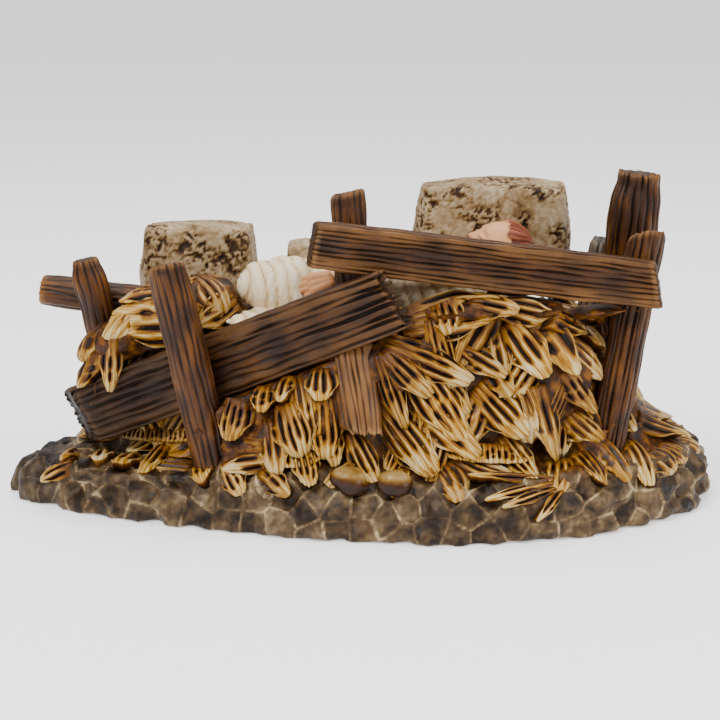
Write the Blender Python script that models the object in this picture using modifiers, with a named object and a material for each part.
"""Nativity ornament: a swaddled infant on a hay bed, fenced with rough timber, on cobbles.

Metres, +Z up. The origin is on the flat underside, +X runs along the ornament to the
infant's head, and -Y is the fenced front. The ornament is painted cast resin. Each
casting is one object: the cobbled ground with its hay, the infant, every post, board
and log of the fence, and three limestone blocks. Whatever is bedded in the hay sits in a
socket cut from its own shape with CLEARANCE all round.
"""
import math
import random

import bmesh
import bpy
import numpy as np
from mathutils import Matrix, Vector, noise

# Ground: an oval slab of cobbles
GROUND_LENGTH = 0.180
GROUND_DEPTH = 0.085
GROUND_HEIGHT = 0.0135
COBBLE_SIZE = 0.0078

# Hay bed: the heap, measured at its foot, and its height over the underside
HAY_LENGTH = 0.148
HAY_DEPTH = 0.058
HAY_HEIGHT = 0.0545
TUFT_LENGTH = 0.021
TUFT_WIDTH = 0.0095
SHEAF_ARCH = 0.004
STRAW_OVERLAP = 0.004
STRAW_BEDDING = 0.0005

# Infant: its length from the feet to the crown
BABY_LENGTH = 0.078

# Boards
BOARD_THICKNESS = 0.0048
TOP_BOARD_HEIGHT = 0.0118
LONG_BOARD_HEIGHT = 0.0160
GROOVE_DEPTH = 0.0007

# Posts, the log and the stake: radius of each
FRONT_LEFT_POST_RADIUS = 0.0050
MIDDLE_POST_RADIUS = 0.0046
RIGHT_FRONT_POST_RADIUS = 0.0044
RIGHT_REAR_POST_RADIUS = 0.0064
LEFT_POST_RADIUS = 0.0043
LEFT_LOG_RADIUS = 0.0042
REAR_STAKE_RADIUS = 0.0034

# Limestone blocks: length, depth and height of each
LEFT_BLOCK = Vector((0.0295, 0.0180, 0.0250))
SMALL_BLOCK = Vector((0.0085, 0.0120, 0.0160))
RIGHT_BLOCK = Vector((0.0395, 0.0190, 0.0300))

# Fits
CLEARANCE = 0.0003
NEST_ROOM = 0.0014
BEDDING = 0.0070

# Bark and warp let a timber stand this far out of its plain shape
ROUGHNESS_ALLOWANCE = 1.18
BOARD_WARP = 0.10 * BOARD_THICKNESS

# No hay stands before a board for this far
OPEN_FRONT = 0.020

# How finely the carved forms are resolved
HAY_VOXEL = 0.0010
BABY_VOXEL = 0.0007
HAY_FACES = 4300
BABY_FACES = 1250
SOCKET_FACES = 260
SEED = 11

# The hay heap stands a little behind the middle of the slab
HAY_MIDDLE_Y = 0.010

PARTS = "nativity_crib"
CUTTERS = "cutters"


def share(u, v, w):
    """A point as shares of the hay bed: u left to right, v front to back, w up."""
    return Vector((u * HAY_LENGTH / 2, HAY_MIDDLE_Y + v * HAY_DEPTH / 2, w * HAY_HEIGHT))


def clear_scene():
    for obj in list(bpy.data.objects):
        bpy.data.objects.remove(obj, do_unlink=True)
    for name in (PARTS, CUTTERS):
        group = bpy.data.collections.new(name)
        bpy.context.scene.collection.children.link(group)


def paint(name, colour, roughness):
    """A satin paint on resin, which is never metallic."""
    material = bpy.data.materials.new(name)
    material.use_nodes = True
    shader = material.node_tree.nodes["Principled BSDF"]
    shader.inputs["Base Color"].default_value = (*colour, 1.0)
    shader.inputs["Roughness"].default_value = roughness
    shader.inputs["Metallic"].default_value = 0.0
    material.diffuse_color = (*colour, 1.0)
    return material


def add_object(name, bm, material=None, smooth=True):
    """Make a part of a bmesh; with no material it is a cutter, which is never rendered."""
    mesh = bpy.data.meshes.new(name)
    bm.to_mesh(mesh)
    bm.free()
    obj = bpy.data.objects.new(name, mesh)
    if material is None:
        bpy.data.collections[CUTTERS].objects.link(obj)
        obj.hide_render = True
        obj.display_type = "WIRE"
        return obj
    bpy.data.collections[PARTS].objects.link(obj)
    mesh.materials.append(material)
    if smooth:
        mesh.shade_smooth()
        mesh.set_sharp_from_angle(angle=math.radians(40))
    return obj


def evaluated_bmesh(obj):
    """The object's mesh after its modifiers, as a new bmesh."""
    graph = bpy.context.evaluated_depsgraph_get()
    graph.update()
    mesh = bpy.data.meshes.new_from_object(obj.evaluated_get(graph))
    bm = bmesh.new()
    bm.from_mesh(mesh)
    bpy.data.meshes.remove(mesh)
    return bm


def drop_crumbs(bm, largest_crumb):
    """Delete loose bits that hold less than largest_crumb of the mesh's corners."""
    left = set(bm.verts)
    bodies = []
    while left:
        body = set()
        front = [left.pop()]
        while front:
            vert = front.pop()
            body.add(vert)
            for edge in vert.link_edges:
                other = edge.other_vert(vert)
                if other in left:
                    left.remove(other)
                    front.append(other)
        bodies.append(body)
    small = [body for body in bodies if len(body) < largest_crumb * len(bm.verts)]
    bmesh.ops.delete(bm, geom=[vert for body in small for vert in body], context="VERTS")


def unit_ball(sides, rings):
    """The corners and faces of a sphere, the start of every rounded lump."""
    bm = bmesh.new()
    bmesh.ops.create_uvsphere(bm, u_segments=sides, v_segments=rings, radius=1.0)
    corners = np.array([vert.co for vert in bm.verts])
    faces = [tuple(vert.index for vert in face.verts) for face in bm.faces]
    bm.free()
    return corners, faces


class Lumps:
    """Overlapping rounded lumps, gathered in one mesh and then fused into one skin."""

    def __init__(self):
        self.corners = []
        self.faces = []
        self.count = 0
        self.balls = {}

    def ball(self, sides, rings):
        if (sides, rings) not in self.balls:
            self.balls[sides, rings] = unit_ball(sides, rings)
        return self.balls[sides, rings]

    def add_shape(self, corners, faces):
        self.corners.append(np.asarray(corners))
        self.faces += [tuple(i + self.count for i in face) for face in faces]
        self.count += len(corners)

    def add(self, centre, radii, axis=Vector((1, 0, 0)), up=Vector((0, 0, 1)), sides=12):
        """A sphere stretched to radii, its first radius along axis, its last along up."""
        x_axis = axis.normalized()
        y_axis = up.cross(x_axis).normalized()
        z_axis = x_axis.cross(y_axis)
        corners, faces = self.ball(sides, sides * 2 // 3)
        turned = (corners * np.array(radii)) @ np.array((x_axis, y_axis, z_axis))
        self.add_shape(turned + np.array(centre), faces)

    def fuse(self, name, voxel, faces, material=None):
        """Fuse the lumps into one skin, then thin it to about the faces wanted."""
        mesh = bpy.data.meshes.new(name + "_lumps")
        mesh.from_pydata(np.concatenate(self.corners).tolist(), [], self.faces)
        rough = bpy.data.objects.new(name + "_lumps", mesh)
        bpy.data.collections[CUTTERS].objects.link(rough)
        step = rough.modifiers.new("fuse", "REMESH")
        step.mode = "VOXEL"
        step.voxel_size = voxel
        skin = evaluated_bmesh(rough)
        # Fusing leaves sealed bubbles between overlapping lumps
        drop_crumbs(skin, 0.2)
        bmesh.ops.triangulate(skin, faces=skin.faces)
        rough.modifiers.clear()
        skin.to_mesh(mesh)
        thin = rough.modifiers.new("thin", "DECIMATE")
        thin.ratio = min(1.0, faces / len(skin.faces))
        skin.free()
        skin = evaluated_bmesh(rough)
        bpy.data.objects.remove(rough, do_unlink=True)
        return add_object(name, skin, material)


def cut(target, cutter):
    """Cut a socket. EXACT fails here, where thinned straw folds over itself."""
    step = target.modifiers.new("cut_" + cutter.name, "BOOLEAN")
    step.operation = "DIFFERENCE"
    step.solver = "MANIFOLD"
    step.object = cutter


# Timber

def timber_mesh(length, radius, seed, grow, sides=10, rings=4, taper=0.9, squareness=0.0,
                slant=0.0, dome=0.35):
    """A rough log standing on its foot: knotty, grooved, with a worn slanted head."""
    bm = bmesh.new()
    bmesh.ops.create_cone(bm, cap_ends=True, segments=sides, radius1=1, radius2=1, depth=1)
    upright = [e for e in bm.edges if abs(e.verts[0].co.z - e.verts[1].co.z) > 0.5]
    bmesh.ops.subdivide_edges(bm, edges=upright, cuts=rings, use_grid_fill=True)
    head = max(bm.faces, key=lambda f: f.calc_center_median().z)
    bmesh.ops.inset_region(bm, faces=[head], thickness=0.3)
    for vert in bm.verts:
        x, y, z = vert.co
        along = z + 0.5
        inner = math.hypot(x, y)
        angle = math.atan2(y, x)
        square = 1 / max(abs(math.cos(angle)), abs(math.sin(angle)))
        bump = noise.noise(Vector((x * 1.3 + seed, y * 1.3, along * 3.1)))
        reach = radius * (1 - (1 - taper) * along)
        reach *= 1 + squareness * (square - 1) - squareness * 0.12 + 0.10 * bump
        reach += grow
        rise = length * along + (2 * along - 1) * grow
        if along > 0.99:
            rise += slant * radius * x + (dome * radius if inner < 0.9 else -dome * radius)
        vert.co = (x * reach, y * reach, rise)
    return bm


def add_timber(name, foot, head, radius, material, seed, **shape):
    """A log from foot to head, with a cutter that is CLEARANCE larger all round."""
    axis = head - foot
    turn = axis.to_track_quat("Z", "Y")
    parts = []
    for label, grow, look in ((name, 0.0, material), (name + "_socket", CLEARANCE, None)):
        obj = add_object(label, timber_mesh(axis.length, radius, seed, grow, **shape), look)
        obj.rotation_mode = "QUATERNION"
        obj.rotation_quaternion = turn
        obj.location = foot
        parts.append(obj)
    return parts


def board_mesh(length, height, thickness, grooves, seed, stations=9, end_slant=0.0):
    """A plank along X: weathered grooves run its length on both broad faces."""
    bm = bmesh.new()
    bmesh.ops.create_cube(bm, size=1.0)
    along = [e for e in bm.edges if abs(e.verts[0].co.x - e.verts[1].co.x) > 0.5]
    bmesh.ops.subdivide_edges(bm, edges=along, cuts=stations, use_grid_fill=True)
    upright = [e for e in bm.edges if abs(e.verts[0].co.z - e.verts[1].co.z) > 0.5]
    rows = 2 * grooves
    bmesh.ops.subdivide_edges(bm, edges=upright, cuts=rows - 1, use_grid_fill=True)
    for vert in bm.verts:
        x, y, z = vert.co
        edge = abs(z) > 0.499
        half = thickness / 2 - (GROOVE_DEPTH if round((z + 0.5) * rows) % 2 else 0.0)
        if edge or abs(x) > 0.499:
            half *= 0.78
        wave = 0 if edge else noise.noise(Vector((x * 4 + seed, z * 2, 0.5))) * height / rows
        warp = 2 * BOARD_WARP * noise.noise(Vector((x * 2.0, seed, 1.7)))
        worn = 1 - 0.06 * abs(2 * x) ** 4
        vert.co = (x * length + end_slant * z * height,
                   math.copysign(half, y) + warp, (z * height + wave) * worn)
    return bm


def board_socket_mesh(length, height, thickness, end_slant, open_from):
    """The room that a board needs: its plain box, open to the front from open_from on."""
    bm = bmesh.new()
    bmesh.ops.create_cube(bm, size=1.0)
    along = [e for e in bm.edges if abs(e.verts[0].co.x - e.verts[1].co.x) > 0.5]
    bmesh.ops.subdivide_edges(bm, edges=along, cuts=2, use_grid_fill=True)
    back = thickness / 2 + BOARD_WARP + CLEARANCE
    for vert in bm.verts:
        x, y, z = vert.co
        if abs(x) < 0.4:
            x = open_from - (0.02 if x < 0 else 0)
        wide = x * (length + 2 * CLEARANCE) + end_slant * z * height
        opened = OPEN_FRONT if x >= open_from else 0.0
        vert.co = (wide, back if y > 0 else -back - opened, z * (height + 2 * CLEARANCE))
    return bm


def board_turn(left, right):
    """The turn of a board on edge: X along it, and its broad faces upright."""
    x_axis = (right - left).normalized()
    y_axis = Vector((0, 0, 1)).cross(x_axis).normalized()
    z_axis = x_axis.cross(y_axis)
    return Matrix((x_axis, y_axis, z_axis)).transposed().to_quaternion()


def add_board(name, left, right, height, grooves, material, seed, stations, end_slant,
              open_from):
    """A board from left to right. No hay lies before it from the share open_from on."""
    length = (right - left).length
    plank = board_mesh(length, height, BOARD_THICKNESS, grooves, seed, stations, end_slant)
    room = board_socket_mesh(length, height, BOARD_THICKNESS, end_slant, open_from)
    parts = [add_object(name, plank, material, smooth=False), add_object(name + "_socket", room)]
    for obj in parts:
        obj.rotation_mode = "QUATERNION"
        obj.rotation_quaternion = board_turn(left, right)
        obj.location = (left + right) / 2
    return parts


def y_on_line(start, end, x):
    """Where the line from start to end stands in Y when it passes x."""
    along = (x - start.x) / (end.x - start.x)
    return start.y + along * (end.y - start.y)


def lean_point(anchor, point, lean):
    """The point moved in Y onto a line through anchor that leans back as it climbs."""
    return Vector((point.x, anchor.y + lean * (point.z - anchor.z), point.z))


def reach_to_board(radius):
    """From a board's middle plane to the axis of a post that touches it."""
    return BOARD_THICKNESS / 2 + BOARD_WARP + radius * ROUGHNESS_ALLOWANCE + CLEARANCE


def sunk(foot, head):
    """The foot carried on along the post, so that it is bedded in the hay."""
    return foot - (head - foot).normalized() * BEDDING


def make_fence(wood, grey_wood):
    """The fence: two boards and six uprights, each touching what it crosses."""
    sockets = []

    top_left = share(-0.155, -0.79, 1.262)
    top_right = share(0.975, -0.79, 1.080)
    top_board, top_socket = add_board(
        "top_board", top_left, top_right, TOP_BOARD_HEIGHT, 8, wood, 3.1,
        stations=6, end_slant=-0.25, open_from=-0.48)
    sockets.append(top_socket)

    # The middle post leans back behind the top board, and the long board crosses it
    lean = 0.18
    mid_head = share(-0.040, 0, 1.450)
    mid_foot = share(0.007, 0, 0.420)
    reach = reach_to_board(MIDDLE_POST_RADIUS)
    crossing = share(-0.03, 0, 1.22)
    crossing.y = y_on_line(top_left, top_right, crossing.x) + reach
    mid_head = lean_point(crossing, mid_head, lean)
    mid_foot = lean_point(crossing, mid_foot, lean)
    long_right_y = lean_point(crossing, share(0, 0, 0.97), lean).y - reach

    # The long board climbs from the ground at the left and comes forward as it climbs
    long_left = share(-0.955, -0.26, 0.415)
    at_middle = Vector((0, long_right_y, 0))
    long_right = share(0.118, 0, 1.045)
    before_top_board = BOARD_THICKNESS + 4 * BOARD_WARP + CLEARANCE
    long_right.y = min(
        y_on_line(long_left, at_middle, long_right.x),
        y_on_line(top_left, top_right, long_right.x) - before_top_board)
    long_board, long_socket = add_board(
        "long_board", long_left, long_right, LONG_BOARD_HEIGHT, 6, wood, 7.7,
        stations=6, end_slant=-0.12, open_from=-0.20)
    sockets.append(long_socket)
    _, socket = add_timber(
        "middle_post", sunk(mid_foot, mid_head), mid_head, MIDDLE_POST_RADIUS, wood, 5.0,
        squareness=0.35, slant=-0.15, dome=0.2, taper=0.95)
    sockets.append(socket)

    # The front left post stands before the long board and leans out to the left
    reach = reach_to_board(FRONT_LEFT_POST_RADIUS)
    left_foot = share(-0.505, 0, 0.385)
    left_head = share(-0.625, 0, 1.150)
    crossing = share(-0.545, 0, 0.63)
    crossing.y = y_on_line(long_left, long_right, crossing.x) - reach
    left_foot = lean_point(crossing, left_foot, -0.04)
    left_head = lean_point(crossing, left_head, -0.04)
    _, socket = add_timber(
        "front_left_post", sunk(left_foot, left_head), left_head, FRONT_LEFT_POST_RADIUS,
        wood, 9.0, slant=0.35, dome=0.2, taper=1.0)
    sockets.append(socket)

    # The right front post leans outwards and carries the top board's right end
    reach = reach_to_board(RIGHT_FRONT_POST_RADIUS)
    right_foot = share(0.820, 0, 0.280)
    right_head = share(0.945, 0, 1.255)
    crossing = share(0.93, 0, 1.08)
    crossing.y = y_on_line(top_left, top_right, crossing.x) + reach
    right_foot = lean_point(crossing, right_foot, 0.10)
    right_head = lean_point(crossing, right_head, 0.10)
    _, socket = add_timber(
        "right_front_post", sunk(right_foot, right_head), right_head,
        RIGHT_FRONT_POST_RADIUS, wood, 13.0, slant=-0.55, dome=0.15, taper=1.12)
    sockets.append(socket)

    # The tall split log stands behind it
    clear = RIGHT_FRONT_POST_RADIUS * 1.12 + RIGHT_REAR_POST_RADIUS
    clear = clear * ROUGHNESS_ALLOWANCE + 2 * CLEARANCE
    rear_foot = Vector((right_foot.x + RIGHT_FRONT_POST_RADIUS, right_head.y + clear, 0.62 * HAY_HEIGHT))
    rear_head = share(0.942, 0, 1.475)
    rear_head.y = right_head.y + clear
    _, socket = add_timber(
        "right_rear_post", sunk(rear_foot, rear_head), rear_head, RIGHT_REAR_POST_RADIUS,
        wood, 17.0, sides=12, squareness=0.15, dome=0.45, taper=1.0)
    sockets.append(socket)

    # A short stake behind the tall log
    stake_head = share(0.845, 0.42, 1.175)
    stake_foot = share(0.800, 0.42, 0.80)
    _, socket = add_timber(
        "rear_stake", sunk(stake_foot, stake_head), stake_head, REAR_STAKE_RADIUS,
        grey_wood, 21.0, sides=8, rings=2, squareness=0.5, slant=0.2, dome=0.1)
    sockets.append(socket)

    # The left post, and the log that lies behind it and sticks out to the left
    post_head = share(-0.925, -0.16, 1.105)
    post_foot = share(-0.868, -0.16, 0.770)
    _, socket = add_timber(
        "left_post", sunk(post_foot, post_head), post_head, LEFT_POST_RADIUS, wood, 25.0,
        rings=3, squareness=0.2, dome=0.45, taper=1.0)
    sockets.append(socket)
    gap = (LEFT_POST_RADIUS + LEFT_LOG_RADIUS) * ROUGHNESS_ALLOWANCE + 2 * CLEARANCE
    log_head = share(-1.085, 0, 0.965)
    log_head.y = post_head.y + gap
    # Its inner end is bedded in the heap, in front of the stone block
    log_foot = share(-0.660, 0, 0.895)
    log_foot.y = log_head.y - 0.5 * LEFT_LOG_RADIUS
    _, socket = add_timber(
        "left_log", log_foot, log_head, LEFT_LOG_RADIUS, wood, 29.0,
        rings=2, squareness=0.0, dome=0.25, taper=1.0)
    sockets.append(socket)
    return sockets


# Limestone

def block_mesh(size, seed, grow):
    """A roughly squared stone with worn corners."""
    bm = bmesh.new()
    bmesh.ops.create_cube(bm, size=2.0)
    bmesh.ops.subdivide_edges(bm, edges=bm.edges, cuts=3, use_grid_fill=True)
    for vert in bm.verts:
        ball = vert.co.normalized() * 1.12
        worn = vert.co.lerp(ball, 0.34)
        dent = 0.05 * noise.noise(worn * 1.7 + Vector((seed, 0, 0)))
        worn *= 1 + dent
        outward = worn.normalized() * grow
        vert.co = Vector(worn[i] * size[i] / 2 for i in range(3)) + outward
    return bm


def make_blocks(stone):
    """Three blocks bedded in the back of the hay: each stands over its own foot point."""
    places = (
        ("left_stone_block", LEFT_BLOCK, share(-0.570, 0.70, 0.785), 2.0),
        ("small_stone_block", SMALL_BLOCK, share(-0.200, 0.70, 0.865), 6.0),
        ("right_stone_block", RIGHT_BLOCK, share(0.465, 0.72, 0.900), 4.0),
    )
    sockets = []
    for name, size, foot, seed in places:
        for label, grow, look in ((name, 0.0, stone), (name + "_socket", CLEARANCE * 1.5, None)):
            obj = add_object(label, block_mesh(size, seed, grow), look)
            obj.location = foot + Vector((0, 0, size.z / 2))
            if look is None:
                sockets.append(obj)
    return sockets


# Infant

def baby_forms():
    """The infant's forms as shares of its length: (name, from, to, radius at each end).

    A form with equal ends is a single lump. Positions are measured from the middle of
    the body: x towards the head, y to its far side, z up from the middle of the back.
    """
    return (
        ("head", (0.445, 0.00, 0.135), (0.445, 0.00, 0.135), 0.104, 0.104),
        ("face", (0.408, 0.00, 0.150), (0.420, 0.00, 0.120), 0.080, 0.084),
        ("nose", (0.352, 0.00, 0.196), (0.360, 0.00, 0.188), 0.018, 0.020),
        ("neck", (0.330, 0.00, 0.080), (0.400, 0.00, 0.100), 0.060, 0.060),
        ("chest", (0.100, 0.00, 0.020), (0.270, 0.00, 0.050), 0.108, 0.100),
        ("belly", (-0.120, 0.00, 0.010), (0.080, 0.00, 0.015), 0.100, 0.110),
        ("legs", (-0.330, 0.00, 0.030), (-0.140, 0.00, 0.010), 0.094, 0.098),
        ("knees", (-0.255, -0.03, 0.065), (-0.300, 0.03, 0.060), 0.070, 0.070),
        ("feet", (-0.395, 0.00, 0.030), (-0.370, 0.00, 0.050), 0.058, 0.070),
        ("near_upper_arm", (0.240, -0.080, 0.090), (0.060, -0.108, 0.078), 0.042, 0.034),
        ("near_forearm", (0.060, -0.108, 0.078), (-0.130, -0.082, 0.092), 0.034, 0.026),
        ("near_hand", (-0.130, -0.082, 0.094), (-0.185, -0.072, 0.090), 0.028, 0.020),
        ("far_upper_arm", (0.240, 0.075, 0.090), (0.090, 0.098, 0.085), 0.042, 0.034),
        ("far_forearm", (0.090, 0.098, 0.085), (0.020, 0.030, 0.130), 0.032, 0.025),
        ("far_hand", (0.020, 0.030, 0.130), (-0.015, 0.000, 0.132), 0.026, 0.018),
    )


def baby_place():
    """The infant's middle in the ornament, on the hay and behind the boards."""
    return share(0.054, -0.017, 0.955)


def add_baby_lumps(lumps, grow):
    """Each form is a row of lumps from one end to the other."""
    middle = baby_place()
    for name, start, end, first, last in baby_forms():
        start = Vector(start) * BABY_LENGTH
        end = Vector(end) * BABY_LENGTH
        steps = 1 + int((end - start).length / (0.04 * BABY_LENGTH))
        for step in range(steps + 1):
            along = step / steps
            radius = (first + (last - first) * along) * BABY_LENGTH + grow
            lumps.add(middle + start.lerp(end, along), (radius, radius, radius))
    # Swaddling bands wound round the legs and the belly
    for turn in range(9):
        x = (-0.30 + 0.045 * turn) * BABY_LENGTH
        wide = (0.107 + 0.010 * (turn % 2)) * BABY_LENGTH + grow
        slope = Vector((1, 0.0, 0.25 * (-1) ** turn))
        centre = middle + Vector((x, 0, 0.018 * BABY_LENGTH))
        lumps.add(centre, (0.022 * BABY_LENGTH + grow, wide, wide), axis=slope)
    # The linen under the body, with a corner drawn forward over the long board
    for x, y, z, rx, ry in ((-0.36, -0.10, -0.055, 0.13, 0.11),
                            (-0.20, -0.06, -0.070, 0.20, 0.12),
                            (0.05, 0.02, -0.075, 0.30, 0.15)):
        centre = middle + Vector((x, y, z)) * BABY_LENGTH
        radii = (rx * BABY_LENGTH + grow, ry * BABY_LENGTH + grow, 0.020 * BABY_LENGTH + grow)
        lumps.add(centre, radii, axis=Vector((1, 0, 0.12)))


def make_baby(cream):
    lumps = Lumps()
    add_baby_lumps(lumps, 0.0)
    lumps.fuse("baby", BABY_VOXEL, BABY_FACES, cream)
    hollow = Lumps()
    add_baby_lumps(hollow, CLEARANCE + NEST_ROOM)
    return hollow.fuse("baby_socket", HAY_VOXEL, SOCKET_FACES)


# Ground and hay

def ground_reach(angle):
    """From the slab's hub to its edge: four quarters of unlike ovals."""
    right = 0.38 * GROUND_LENGTH
    left = 0.62 * GROUND_LENGTH
    front = 0.57 * GROUND_DEPTH
    back = 0.43 * GROUND_DEPTH
    c = math.cos(angle)
    s = math.sin(angle)
    a = right if c > 0 else left
    b = back if s > 0 else front
    power = 2.1 if s > 0 else (1.8 if c > 0 else 1.52)
    reach = (abs(c / a) ** power + abs(s / b) ** power) ** (-1 / power)
    wobble = noise.noise(Vector((2.2 * c, 2.2 * s, 4.0)))
    return reach * (1 + 0.03 * wobble)


def even_angles(outline, count):
    """Angles that walk round an outline in count even steps."""
    fine = 360
    walked = [0.0]
    before = outline(0.0)
    for k in range(1, fine + 1):
        point = outline(math.tau * k / fine)
        walked.append(walked[-1] + (point - before).length)
        before = point
    steps = np.linspace(0.0, walked[-1], count, endpoint=False)
    return np.interp(steps, walked, np.linspace(0.0, math.tau, fine + 1)), walked[-1]


def ground_hub():
    return Vector((0.12 * GROUND_LENGTH, 0.165 * GROUND_DEPTH, 0))


def slab_height(x):
    """The cobbles stand a little higher at the right end."""
    return GROUND_HEIGHT * (1.0 + 0.22 * x / (GROUND_LENGTH / 2))


def ground_point(angle, out, up):
    """A point of the slab's skin: out is 0 at the hub and 1 at the edge."""
    reach = ground_reach(angle) * out
    x = ground_hub().x + reach * math.cos(angle)
    y = ground_hub().y + reach * math.sin(angle)
    return Vector((x, y, up * slab_height(x)))


def add_slab(lumps):
    """The slab's body: a sphere squared off into a low drum of the slab's outline."""
    corners, faces = lumps.ball(64, 24)
    shaped = []
    for x, y, z in corners:
        height = math.copysign(abs(z) ** 0.45, z)
        shaped.append(ground_point(math.atan2(y, x), 0.965 * math.hypot(x, y) ** 0.45, height))
    lumps.add_shape(shaped, faces)


def add_cobbles(lumps, rng):
    """Rows of flat round stones that overlap like scales on the slab's rim."""
    rows = ((0.985, 0.12, 0.0), (0.972, 0.50, 0.35), (0.925, 0.86, 0.9), (0.83, 0.98, 1.5))
    for row, (out, up, tip) in enumerate(rows):
        _, around = even_angles(lambda a: ground_point(a, out, 0), 8)
        count = int(around / COBBLE_SIZE)
        angles, _ = even_angles(lambda a: ground_point(a, out, 0), count)
        for angle in angles:
            angle += (0.5 * (row % 2) + rng.uniform(-0.2, 0.2)) * math.tau / count
            centre = ground_point(angle, out, up + rng.uniform(-0.07, 0.07))
            step = ground_point(angle + 0.02, out, up) - ground_point(angle - 0.02, out, up)
            outward = Vector((step.y, -step.x, 0)).normalized()
            normal = (outward * math.cos(tip) + Vector((0, 0, math.sin(tip)))).normalized()
            size = COBBLE_SIZE * rng.uniform(0.48, 0.62)
            radii = (size, size * 0.85, COBBLE_SIZE * 0.38)
            lumps.add(centre, radii, axis=step, up=normal, sides=9)


def smooth_step(start, end, value):
    along = min(1.0, max(0.0, (value - start) / (end - start)))
    return along * along * (3 - 2 * along)


def hay_reach(angle):
    c = abs(math.cos(angle)) / (HAY_LENGTH / 2)
    s = abs(math.sin(angle)) / (HAY_DEPTH / 2)
    power = 3.2
    return (c ** power + s ** power) ** (-1 / power)


def hay_point(angle, up):
    """A point of the heap's side: up is 0 at the foot and 1 at the brow."""
    reach = hay_reach(angle) * (1 - 0.13 * up)
    x = reach * math.cos(angle)
    y = HAY_MIDDLE_Y + reach * math.sin(angle)
    if math.sin(angle) < 0:
        # The front bulges before the middle, and is hollow under the sheaf at the left
        bulge = max(0.0, 1 - abs(x / (HAY_LENGTH / 2) - 0.25) / 0.7) * (1 - up)
        hollow = smooth_step(-0.42, -0.70, x / (HAY_LENGTH / 2)) * smooth_step(0.02, 0.22, up)
        y += (0.55 * hollow - 0.13 * bulge) * HAY_DEPTH / 2
    return Vector((x, y, HAY_HEIGHT * (0.12 + 0.80 * up)))


def add_heap(lumps):
    """The heap's body: a sphere squared off, narrower at the brow than at the foot."""
    corners, faces = lumps.ball(64, 24)
    shaped = []
    for x, y, z in corners:
        up = math.copysign(abs(z) ** 0.5, z)
        side = hay_point(math.atan2(y, x), 0.5 + 0.5 * up)
        centre = Vector((0, HAY_MIDDLE_Y, side.z))
        shaped.append(centre.lerp(side, 0.955 * math.hypot(x, y) ** 0.4))
    lumps.add_shape(shaped, faces)


def add_tuft(lumps, root, direction, outward, length, width, lift=0.25):
    """A tuft of straw: a flat tongue from its root, with its tip lifted off the heap."""
    along = (direction + outward * lift).normalized()
    for step, (wide, thick) in enumerate(((0.75, 0.34), (1.0, 0.40), (0.72, 0.26))):
        centre = root + along * length * (0.22 + 0.28 * step)
        radii = (0.27 * length, wide * width / 2, thick * width / 2)
        lumps.add(centre, radii, axis=along, up=outward, sides=9)


def add_hay_tufts(lumps, rng):
    """Courses of tufts laid like thatch from the foot of the heap up to its brow."""
    courses = 5
    for course in range(courses):
        up = 0.10 + 0.22 * course
        _, around = even_angles(lambda a: hay_point(a, up), 8)
        count = int(around / (1.45 * TUFT_WIDTH))
        angles, _ = even_angles(lambda a: hay_point(a, up), count)
        for angle in angles:
            angle += (0.5 * (course % 2) + rng.uniform(-0.2, 0.2)) * math.tau / count
            root = hay_point(angle, up)
            behind_board = math.sin(angle) < 0 and root.x < -0.42 * HAY_LENGTH / 2 and course > 0
            if behind_board:
                continue
            nearby = hay_point(angle + 0.02, up) - hay_point(angle - 0.02, up)
            outward = Vector((nearby.y, -nearby.x, 0.12 * nearby.length)).normalized()
            sideways = nearby.normalized()
            fall = Vector((0, 0, -1)) + sideways * rng.uniform(-0.9, 0.9)
            fall = (fall - outward * fall.dot(outward)).normalized()
            length = TUFT_LENGTH * rng.uniform(0.75, 1.1)
            width = TUFT_WIDTH * rng.uniform(0.8, 1.15)
            add_tuft(lumps, root - outward * 0.16 * width, fall, outward, length, width)


def add_left_sheaf(lumps):
    """The sheaf at the left end: a bound tongue that droops over the long board."""
    root = share(-0.50, -0.10, 0.96)
    tip = share(-0.82, -0.36, 0.80)
    span = tip - root
    up = Vector((0, 0, 1))
    for step in range(5):
        along = step / 4
        centre = root.lerp(tip, along) + up * SHEAF_ARCH * math.sin(math.pi * along)
        wide = 0.30 * HAY_DEPTH / 2
        lumps.add(centre, (0.30 * span.length, wide, 0.10 * HAY_HEIGHT), axis=span)
    for k in range(5):
        root = share(-0.66 - 0.055 * k, -0.46 + 0.03 * k, 0.80)
        fall = Vector((-0.45, -0.06, -1))
        add_tuft(lumps, root, fall, Vector((0, -1, 0)), 0.36 * HAY_HEIGHT, 0.68 * TUFT_WIDTH, lift=0.0)


def add_brow(lumps, rng):
    """Loose hay along the brow, round the hollow where the infant lies."""
    for k in range(15):
        u = 0.10 + 0.045 * k
        root = share(u, rng.uniform(-0.62, -0.42), 0.93)
        direction = Vector((rng.uniform(-1, 1), -0.5, rng.uniform(-0.1, 0.15)))
        add_tuft(lumps, root, direction, Vector((0, -0.2, 1)), 0.8 * TUFT_LENGTH,
                 1.1 * TUFT_WIDTH, lift=0.15)
    for k in range(20):
        u = -0.80 + 0.082 * k
        root = share(u, rng.uniform(0.45, 0.70), 0.86)
        direction = Vector((rng.uniform(-1, 1), 0.8, -0.35))
        add_tuft(lumps, root, direction, Vector((0, 0.4, 1)), 0.8 * TUFT_LENGTH, TUFT_WIDTH,
                 lift=0.0)


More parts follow.
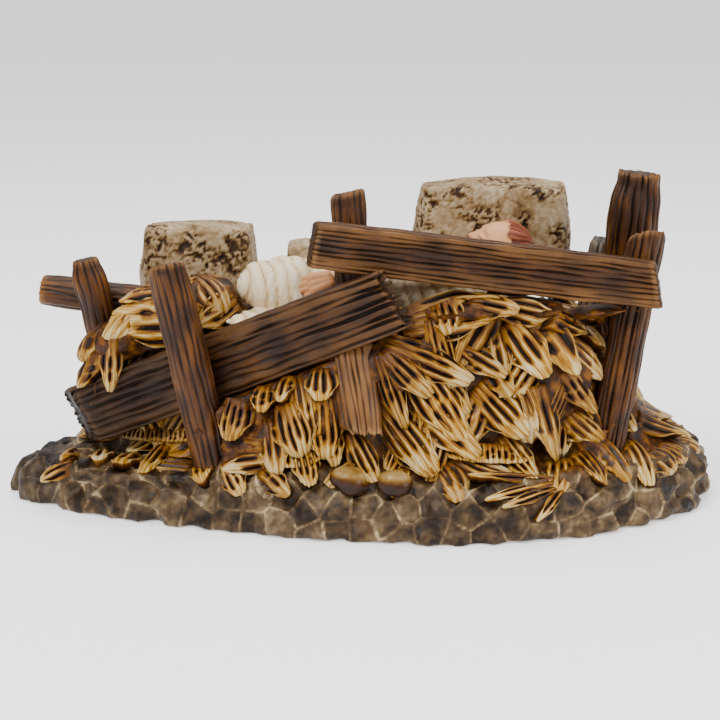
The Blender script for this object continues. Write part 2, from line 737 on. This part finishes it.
def add_ground_straw(lumps, rng):
    """Straw that has slid off the heap and lies on the cobbles round its foot."""
    count = 46
    angles, _ = even_angles(lambda a: hay_point(a, 0), count)
    for angle in angles:
        angle += rng.uniform(-0.3, 0.3) * math.tau / count
        root = hay_point(angle, 0.0)
        outward = Vector((math.cos(angle) * 0.6, math.sin(angle), 0)).normalized()
        sideways = Vector((-outward.y, outward.x, 0)) * rng.uniform(-1.2, 1.2)
        root.z = slab_height(root.x) - STRAW_BEDDING
        add_tuft(lumps, root - outward * STRAW_OVERLAP, outward + sideways, Vector((0, 0, 1)),
                 0.62 * TUFT_LENGTH, 0.95 * TUFT_WIDTH, lift=0.0)


def make_ground_and_hay(hay, sockets):
    rng = random.Random(SEED)
    lumps = Lumps()
    add_slab(lumps)
    add_cobbles(lumps, rng)
    add_heap(lumps)
    add_hay_tufts(lumps, rng)
    add_left_sheaf(lumps)
    add_brow(lumps, rng)
    add_ground_straw(lumps, rng)
    body = lumps.fuse("ground_and_hay", HAY_VOXEL, HAY_FACES, hay)

    # Everything under the slab's flat underside is cut away
    under = bmesh.new()
    deep = 4 * GROUND_HEIGHT
    size = Matrix.Diagonal((2 * GROUND_LENGTH, 3 * GROUND_DEPTH, deep, 1.0))
    place = Matrix.Translation((0, 0, -deep / 2))
    bmesh.ops.create_cube(under, size=1.0, matrix=place @ size)
    cut(body, add_object("underside", under))
    for socket in sockets:
        cut(body, socket)
    # The sockets cut a few crumbs free of the hay between them
    carved = evaluated_bmesh(body)
    drop_crumbs(carved, 0.02)
    body.modifiers.clear()
    carved.to_mesh(body.data)
    carved.free()


def main():
    clear_scene()
    wood = paint("timber", (0.20, 0.105, 0.055), 0.55)
    grey_wood = paint("weathered_timber", (0.36, 0.31, 0.27), 0.65)
    stone = paint("limestone", (0.56, 0.47, 0.34), 0.75)
    cream = paint("swaddling", (0.82, 0.74, 0.62), 0.55)
    hay = paint("hay_and_cobbles", (0.62, 0.44, 0.22), 0.55)
    sockets = make_fence(wood, grey_wood)
    sockets += make_blocks(stone)
    sockets.append(make_baby(cream))
    make_ground_and_hay(hay, sockets)


main()
